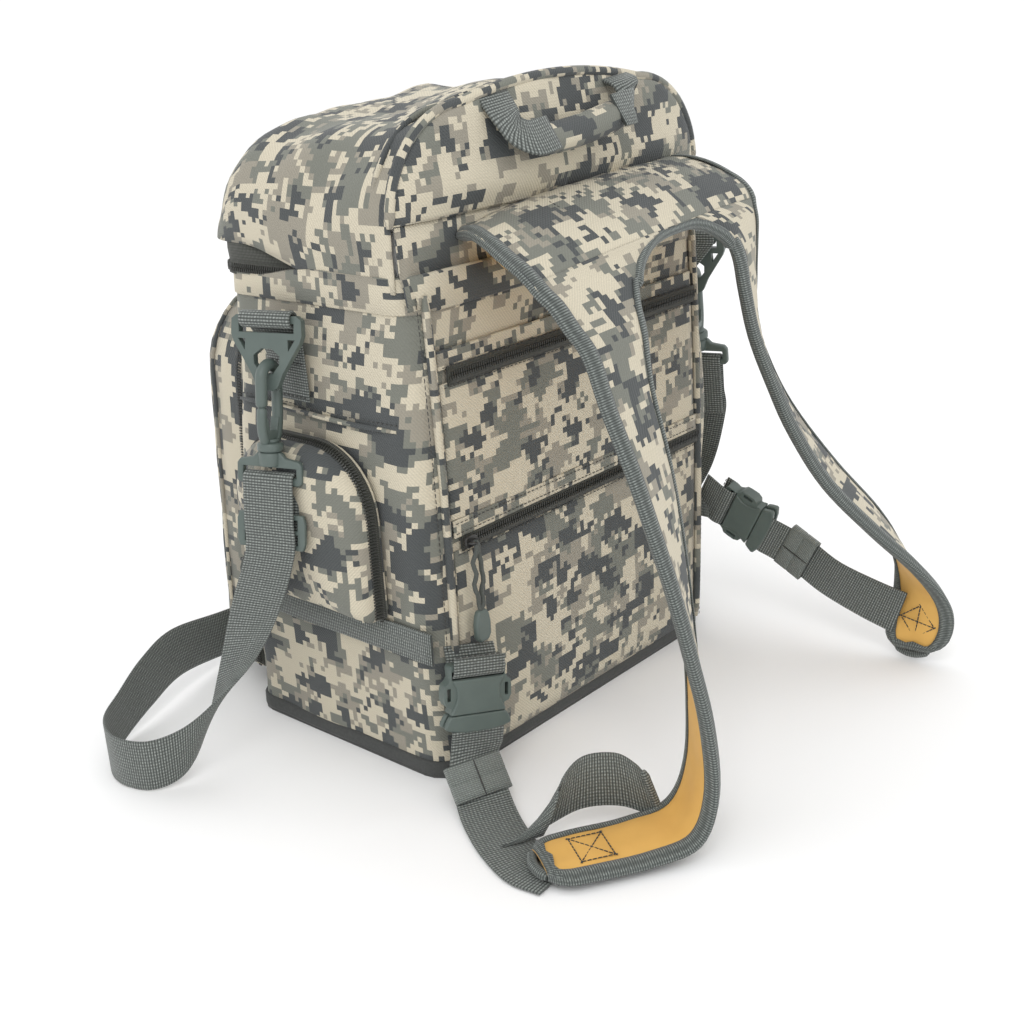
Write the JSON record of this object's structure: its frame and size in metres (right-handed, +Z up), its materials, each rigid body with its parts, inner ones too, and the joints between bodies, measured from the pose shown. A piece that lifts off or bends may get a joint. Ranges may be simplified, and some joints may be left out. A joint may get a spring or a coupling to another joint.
{
  "type": "backpack cooler bag",
  "caption": "Soft insulated cooler bag worn on the back, with a domed zipped lid, yoke, padded straps, side and front pockets and a clip-on shoulder strap",
  "frame": {"origin": "centre of the main compartment's base, on its underside", "axes": "+Z up; +X to the wearer's right seen from behind the harness, along the bag's width; -Y out of the harness side, so the front pocket faces +Y"},
  "size_m": [0.5213, 0.4896, 0.455],
  "materials": {
    "printed_fabric": "woven polyester printed with small square blocks of sand, grey, green and slate",
    "webbing": "ribbed grey-green webbing",
    "hardware": "moulded grey-green plastic, slightly flecked",
    "zip_tape": "near-black coil zip",
    "zip_slider": "black coated slider",
    "puller_cord": "braided cord loop with a moulded end",
    "foam": "closed-cell foam sheet",
    "lining": "welded white lining film",
    "base_fabric": "dark coated woven fabric"
  },
  "bodies": {
    "root": {"outer_shell": "printed_fabric", "back_upper_pocket": "printed_fabric", "back_lower_pocket": "printed_fabric", "hinge_strip": "printed_fabric", "left_pocket": "printed_fabric", "right_pocket": "printed_fabric", "front_pocket_gusset": "printed_fabric", "yoke": "printed_fabric", "left_strap": "printed_fabric", "right_strap": "printed_fabric", "left_band": "webbing", "right_band": "webbing", "left_ring_tab": "webbing", "right_ring_tab": "webbing", "left_buckle_tab": "webbing", "right_buckle_tab": "webbing", "left_harness_webbing": "webbing", "right_harness_webbing": "webbing", "shoulder_strap": "webbing", "strap_triglide": "hardware", "left_buckle_socket": "hardware", "right_buckle_socket": "hardware", "lid_zip": "zip_tape", "back_upper_zip": "zip_tape", "back_lower_zip": "zip_tape", "left_pocket_zip": "zip_tape", "right_pocket_zip": "zip_tape", "front_pocket_zip": "zip_tape", "foam_back": "foam", "foam_front": "foam", "foam_left": "foam", "foam_right": "foam", "foam_base": "foam", "liner": "lining", "base_panel": "base_fabric"},
    "lid": {"lid_cover": "printed_fabric", "lid_back_panel": "printed_fabric", "lid_lining": "lining"},
    "handle": {"handle_grip": "printed_fabric"},
    "front_panel": {"front_pocket_panel": "printed_fabric"},
    "left_ring": {"left_ring": "hardware"},
    "left_hook_base": {"left_hook_base": "hardware"},
    "left_hook": {"left_hook": "hardware"},
    "right_ring": {"right_ring": "hardware"},
    "right_hook_base": {"right_hook_base": "hardware"},
    "right_hook": {"right_hook": "hardware"},
    "left_buckle_plug": {"left_buckle_plug": "hardware"},
    "right_buckle_plug": {"right_buckle_plug": "hardware"},
    "lid_slider": {"lid_slider": "zip_slider"},
    "lid_puller": {"lid_puller": "puller_cord"},
    "back_upper_slider": {"back_upper_slider": "zip_slider"},
    "back_upper_puller": {"back_upper_puller": "puller_cord"},
    "back_lower_slider": {"back_lower_slider": "zip_slider"},
    "back_lower_puller": {"back_lower_puller": "puller_cord"},
    "left_pocket_slider": {"left_pocket_slider": "zip_slider"},
    "left_pocket_puller": {"left_pocket_puller": "puller_cord"},
    "right_pocket_slider": {"right_pocket_slider": "zip_slider"},
    "right_pocket_puller": {"right_pocket_puller": "puller_cord"},
    "front_pocket_slider": {"front_pocket_slider": "zip_slider"},
    "front_pocket_puller": {"front_pocket_puller": "puller_cord"}
  },
  "joints": [
    {"name": "lid_hinge", "type": "hinge", "parent": "root", "child": "lid", "pos_m": [0, -0.0935, 0.3795], "axis": [1, 0, 0], "range_deg": [0, 60]},
    {"name": "handle_swing", "type": "hinge", "parent": "lid", "child": "handle", "pos_m": [-0.062, -0.099, 0.433], "axis": [-0.9954, 0, -0.0963], "range_deg": [0, 120]},
    {"name": "front_panel_hinge", "type": "hinge", "parent": "root", "child": "front_panel", "pos_m": [0, 0.12861, 0.02394], "axis": [-1, 0, 0], "range_deg": [0, 45]},
    {"name": "left_ring_swing", "type": "hinge", "parent": "root", "child": "left_ring", "pos_m": [-0.178, 0.008, 0.318], "axis": [-0.309, 0.9511, 0], "range_deg": [0, 60]},
    {"name": "left_hook_base_swing", "type": "hinge", "parent": "root", "child": "left_hook_base", "pos_m": [-0.178, 0.008, 0.318], "axis": [-0.309, 0.9511, 0], "range_deg": [0, 60], "deforming": ["shoulder_strap"]},
    {"name": "left_hook_swivel", "type": "hinge", "parent": "left_hook_base", "child": "left_hook", "pos_m": [-0.19203, 0.00344, 0.23429], "axis": [0.1651, 0.0536, 0.9848], "range_deg": [-15, 15]},
    {"name": "right_ring_swing", "type": "hinge", "parent": "root", "child": "right_ring", "pos_m": [0.182, -0.076, 0.318], "axis": [0.309, -0.9511, 0], "range_deg": [0, 60]},
    {"name": "right_hook_base_swing", "type": "hinge", "parent": "root", "child": "right_hook_base", "pos_m": [0.182, -0.076, 0.318], "axis": [0.309, -0.9511, 0], "range_deg": [0, 60], "deforming": ["shoulder_strap"]},
    {"name": "right_hook_swivel", "type": "hinge", "parent": "right_hook_base", "child": "right_hook", "pos_m": [0.19603, -0.07144, 0.23429], "axis": [-0.1651, -0.0536, 0.9848], "range_deg": [-15, 15]},
    {"name": "left_buckle_release", "type": "slide", "parent": "root", "child": "left_buckle_plug", "axis": [-0.1896, -0.0898, -0.9778], "range_m": [0, 0.035], "deforming": ["left_harness_webbing"]},
    {"name": "right_buckle_release", "type": "slide", "parent": "root", "child": "right_buckle_plug", "axis": [0.1402, -0.8711, -0.4706], "range_m": [0, 0.035], "deforming": ["right_harness_webbing"]},
    {"name": "lid_zip_slide", "type": "slide", "parent": "root", "child": "lid_slider", "axis": [0, 1, 0], "range_m": [-0.075, 0.006]},
    {"name": "lid_puller_swing", "type": "hinge", "parent": "lid_slider", "child": "lid_puller", "pos_m": [0.16365, 0.042, 0.344], "axis": [0, -1, 0], "range_deg": [0, 100]},
    {"name": "back_upper_zip_slide", "type": "slide", "parent": "root", "child": "back_upper_slider", "axis": [1, 0, 0], "range_m": [-0.15, 0.035]},
    {"name": "back_upper_puller_swing", "type": "hinge", "parent": "back_upper_slider", "child": "back_upper_puller", "pos_m": [0.03, -0.11388, 0.284], "axis": [-1, 0, 0], "range_deg": [0, 100]},
    {"name": "back_lower_zip_slide", "type": "slide", "parent": "root", "child": "back_lower_slider", "axis": [1, 0, 0], "range_m": [0, 0.22]},
    {"name": "back_lower_puller_swing", "type": "hinge", "parent": "back_lower_slider", "child": "back_lower_puller", "pos_m": [-0.127, -0.1157, 0.172], "axis": [-1, 0, 0], "range_deg": [0, 100]},
    {"name": "left_pocket_zip_slide", "type": "slide", "parent": "root", "child": "left_pocket_slider", "axis": [0, 0, 1], "range_m": [0, 0.05]},
    {"name": "left_pocket_puller_swing", "type": "hinge", "parent": "left_pocket_slider", "child": "left_pocket_puller", "pos_m": [-0.1715, 0.0724, 0.134], "axis": [1, 0, 0], "range_deg": [0, 120]},
    {"name": "right_pocket_zip_slide", "type": "slide", "parent": "root", "child": "right_pocket_slider", "axis": [0, 0, 1], "range_m": [0, 0.05]},
    {"name": "right_pocket_puller_swing", "type": "hinge", "parent": "right_pocket_slider", "child": "right_pocket_puller", "pos_m": [0.1715, 0.0724, 0.134], "axis": [1, 0, 0], "range_deg": [0, 120]},
    {"name": "front_pocket_zip_slide", "type": "slide", "parent": "root", "child": "front_pocket_slider", "axis": [0, -0.0823, 0.9966], "range_m": [0, 0.13]},
    {"name": "front_pocket_puller_swing", "type": "hinge", "parent": "front_pocket_slider", "child": "front_pocket_puller", "pos_m": [-0.1484, 0.10849, 0.1156], "axis": [0, 1, 0], "range_deg": [0, 120]}
  ],
  "couplings": [
    {"joint": "left_ring_swing", "follows": "left_hook_base_swing", "ratio": 1},
    {"joint": "right_ring_swing", "follows": "right_hook_base_swing", "ratio": 1}
  ]
}
